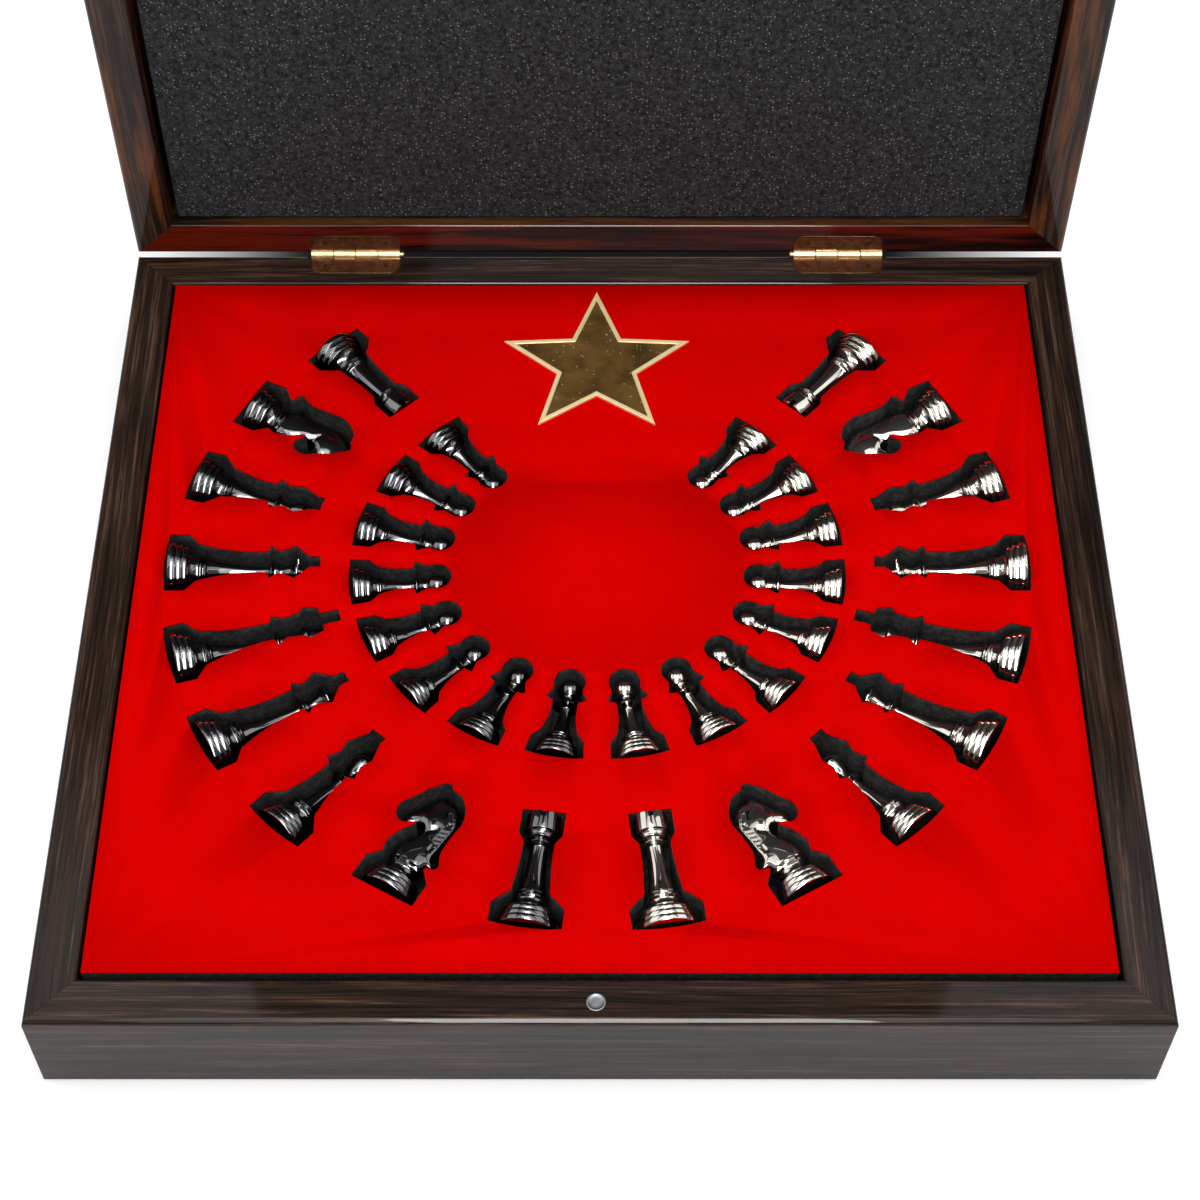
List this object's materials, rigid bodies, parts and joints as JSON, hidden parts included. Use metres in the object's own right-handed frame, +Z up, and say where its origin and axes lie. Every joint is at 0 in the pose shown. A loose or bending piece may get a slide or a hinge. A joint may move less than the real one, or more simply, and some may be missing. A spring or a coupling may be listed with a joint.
{
  "type": "chess set in a lined wooden case",
  "caption": "Chess set in a hinged dark wooden case: metal chess pieces lie on their sides in a ring of shaped foam pockets under red velvet, with a star plate.",
  "frame": {"origin": "middle of the underside of the case's base", "axes": "+X right along the width, +Y to the back where the hinges are, +Z up"},
  "size_m": [0.46, 0.4454, 0.4724],
  "materials": {
    "dark_wood": "satin lacquer",
    "panel_board": "satin lacquer",
    "red_velvet": "short velvet pile",
    "black_foam": "matte closed-cell foam",
    "charcoal_foam": "matte speckled foam",
    "black_chrome": "polished black plating",
    "silver_chrome": "polished plating",
    "star_gold": "satin face with a polished rim",
    "antique_brass": "darkened antique brass",
    "magnet_nickel": "nickel plate"
  },
  "bodies": {
    "base": {"base_front_rail": "dark_wood", "base_right_rail": "dark_wood", "base_back_rail": "dark_wood", "base_left_rail": "dark_wood", "bottom_panel": "panel_board", "tray_floor": "black_foam", "tray_foam_left": "black_foam", "tray_foam_right": "black_foam", "velvet_sheet": "red_velvet", "star_plate": "star_gold", "left_hinge_base_leaf": "antique_brass", "left_hinge_pin": "antique_brass", "right_hinge_base_leaf": "antique_brass", "right_hinge_pin": "antique_brass", "base_hinge_screws": "antique_brass", "base_magnet": "magnet_nickel"},
    "lid": {"lid_front_rail": "dark_wood", "lid_right_rail": "dark_wood", "lid_back_rail": "dark_wood", "lid_left_rail": "dark_wood", "lid_panel": "panel_board", "lid_foam": "charcoal_foam", "left_hinge_lid_leaf": "antique_brass", "right_hinge_lid_leaf": "antique_brass", "lid_hinge_screws": "antique_brass", "lid_magnet": "magnet_nickel"},
    "black_rook_rear": {"black_rook_rear": "black_chrome"},
    "black_knight_rear": {"black_knight_rear": "black_chrome"},
    "black_bishop_rear": {"black_bishop_rear": "black_chrome"},
    "black_queen_rear": {"black_queen_rear": "black_chrome"},
    "black_king": {"black_king": "black_chrome"},
    "black_queen_front": {"black_queen_front": "black_chrome"},
    "black_bishop_front": {"black_bishop_front": "black_chrome"},
    "black_knight_front": {"black_knight_front": "black_chrome"},
    "black_rook_front": {"black_rook_front": "black_chrome"},
    "black_pawn_1": {"black_pawn_1": "black_chrome"},
    "black_pawn_2": {"black_pawn_2": "black_chrome"},
    "black_pawn_3": {"black_pawn_3": "black_chrome"},
    "black_pawn_4": {"black_pawn_4": "black_chrome"},
    "black_pawn_5": {"black_pawn_5": "black_chrome"},
    "black_pawn_6": {"black_pawn_6": "black_chrome"},
    "black_pawn_7": {"black_pawn_7": "black_chrome"},
    "black_pawn_8": {"black_pawn_8": "black_chrome"},
    "silver_rook_rear": {"silver_rook_rear": "silver_chrome"},
    "silver_knight_rear": {"silver_knight_rear": "silver_chrome"},
    "silver_bishop_rear": {"silver_bishop_rear": "silver_chrome"},
    "silver_queen_rear": {"silver_queen_rear": "silver_chrome"},
    "silver_king": {"silver_king": "silver_chrome"},
    "silver_queen_front": {"silver_queen_front": "silver_chrome"},
    "silver_bishop_front": {"silver_bishop_front": "silver_chrome"},
    "silver_knight_front": {"silver_knight_front": "silver_chrome"},
    "silver_rook_front": {"silver_rook_front": "silver_chrome"},
    "silver_pawn_1": {"silver_pawn_1": "silver_chrome"},
    "silver_pawn_2": {"silver_pawn_2": "silver_chrome"},
    "silver_pawn_3": {"silver_pawn_3": "silver_chrome"},
    "silver_pawn_4": {"silver_pawn_4": "silver_chrome"},
    "silver_pawn_5": {"silver_pawn_5": "silver_chrome"},
    "silver_pawn_6": {"silver_pawn_6": "silver_chrome"},
    "silver_pawn_7": {"silver_pawn_7": "silver_chrome"},
    "silver_pawn_8": {"silver_pawn_8": "silver_chrome"}
  },
  "joints": [
    {"name": "lid_hinge", "type": "hinge", "parent": "base", "child": "lid", "pos_m": [0, 0.2102, 0.0522], "axis": [-1, 0, 0], "range_deg": [-90, 0]},
    {"name": "black_rook_rear_lift", "type": "slide", "parent": "base", "child": "black_rook_rear", "axis": [0, 0, 1], "range_m": [0, 0.06]},
    {"name": "black_knight_rear_lift", "type": "slide", "parent": "base", "child": "black_knight_rear", "axis": [0, 0, 1], "range_m": [0, 0.06]},
    {"name": "black_bishop_rear_lift", "type": "slide", "parent": "base", "child": "black_bishop_rear", "axis": [0, 0, 1], "range_m": [0, 0.06]},
    {"name": "black_queen_rear_lift", "type": "slide", "parent": "base", "child": "black_queen_rear", "axis": [0, 0, 1], "range_m": [0, 0.06]},
    {"name": "black_king_lift", "type": "slide", "parent": "base", "child": "black_king", "axis": [0, 0, 1], "range_m": [0, 0.06]},
    {"name": "black_queen_front_lift", "type": "slide", "parent": "base", "child": "black_queen_front", "axis": [0, 0, 1], "range_m": [0, 0.06]},
    {"name": "black_bishop_front_lift", "type": "slide", "parent": "base", "child": "black_bishop_front", "axis": [0, 0, 1], "range_m": [0, 0.06]},
    {"name": "black_knight_front_lift", "type": "slide", "parent": "base", "child": "black_knight_front", "axis": [0, 0, 1], "range_m": [0, 0.06]},
    {"name": "black_rook_front_lift", "type": "slide", "parent": "base", "child": "black_rook_front", "axis": [0, 0, 1], "range_m": [0, 0.06]},
    {"name": "black_pawn_1_lift", "type": "slide", "parent": "base", "child": "black_pawn_1", "axis": [0, 0, 1], "range_m": [0, 0.06]},
    {"name": "black_pawn_2_lift", "type": "slide", "parent": "base", "child": "black_pawn_2", "axis": [0, 0, 1], "range_m": [0, 0.06]},
    {"name": "black_pawn_3_lift", "type": "slide", "parent": "base", "child": "black_pawn_3", "axis": [0, 0, 1], "range_m": [0, 0.06]},
    {"name": "black_pawn_4_lift", "type": "slide", "parent": "base", "child": "black_pawn_4", "axis": [0, 0, 1], "range_m": [0, 0.06]},
    {"name": "black_pawn_5_lift", "type": "slide", "parent": "base", "child": "black_pawn_5", "axis": [0, 0, 1], "range_m": [0, 0.06]},
    {"name": "black_pawn_6_lift", "type": "slide", "parent": "base", "child": "black_pawn_6", "axis": [0, 0, 1], "range_m": [0, 0.06]},
    {"name": "black_pawn_7_lift", "type": "slide", "parent": "base", "child": "black_pawn_7", "axis": [0, 0, 1], "range_m": [0, 0.06]},
    {"name": "black_pawn_8_lift", "type": "slide", "parent": "base", "child": "black_pawn_8", "axis": [0, 0, 1], "range_m": [0, 0.06]},
    {"name": "silver_rook_rear_lift", "type": "slide", "parent": "base", "child": "silver_rook_rear", "axis": [0, 0, 1], "range_m": [0, 0.06]},
    {"name": "silver_knight_rear_lift", "type": "slide", "parent": "base", "child": "silver_knight_rear", "axis": [0, 0, 1], "range_m": [0, 0.06]},
    {"name": "silver_bishop_rear_lift", "type": "slide", "parent": "base", "child": "silver_bishop_rear", "axis": [0, 0, 1], "range_m": [0, 0.06]},
    {"name": "silver_queen_rear_lift", "type": "slide", "parent": "base", "child": "silver_queen_rear", "axis": [0, 0, 1], "range_m": [0, 0.06]},
    {"name": "silver_king_lift", "type": "slide", "parent": "base", "child": "silver_king", "axis": [0, 0, 1], "range_m": [0, 0.06]},
    {"name": "silver_queen_front_lift", "type": "slide", "parent": "base", "child": "silver_queen_front", "axis": [0, 0, 1], "range_m": [0, 0.06]},
    {"name": "silver_bishop_front_lift", "type": "slide", "parent": "base", "child": "silver_bishop_front", "axis": [0, 0, 1], "range_m": [0, 0.06]},
    {"name": "silver_knight_front_lift", "type": "slide", "parent": "base", "child": "silver_knight_front", "axis": [0, 0, 1], "range_m": [0, 0.06]},
    {"name": "silver_rook_front_lift", "type": "slide", "parent": "base", "child": "silver_rook_front", "axis": [0, 0, 1], "range_m": [0, 0.06]},
    {"name": "silver_pawn_1_lift", "type": "slide", "parent": "base", "child": "silver_pawn_1", "axis": [0, 0, 1], "range_m": [0, 0.06]},
    {"name": "silver_pawn_2_lift", "type": "slide", "parent": "base", "child": "silver_pawn_2", "axis": [0, 0, 1], "range_m": [0, 0.06]},
    {"name": "silver_pawn_3_lift", "type": "slide", "parent": "base", "child": "silver_pawn_3", "axis": [0, 0, 1], "range_m": [0, 0.06]},
    {"name": "silver_pawn_4_lift", "type": "slide", "parent": "base", "child": "silver_pawn_4", "axis": [0, 0, 1], "range_m": [0, 0.06]},
    {"name": "silver_pawn_5_lift", "type": "slide", "parent": "base", "child": "silver_pawn_5", "axis": [0, 0, 1], "range_m": [0, 0.06]},
    {"name": "silver_pawn_6_lift", "type": "slide", "parent": "base", "child": "silver_pawn_6", "axis": [0, 0, 1], "range_m": [0, 0.06]},
    {"name": "silver_pawn_7_lift", "type": "slide", "parent": "base", "child": "silver_pawn_7", "axis": [0, 0, 1], "range_m": [0, 0.06]},
    {"name": "silver_pawn_8_lift", "type": "slide", "parent": "base", "child": "silver_pawn_8", "axis": [0, 0, 1], "range_m": [0, 0.06]}
  ]
}
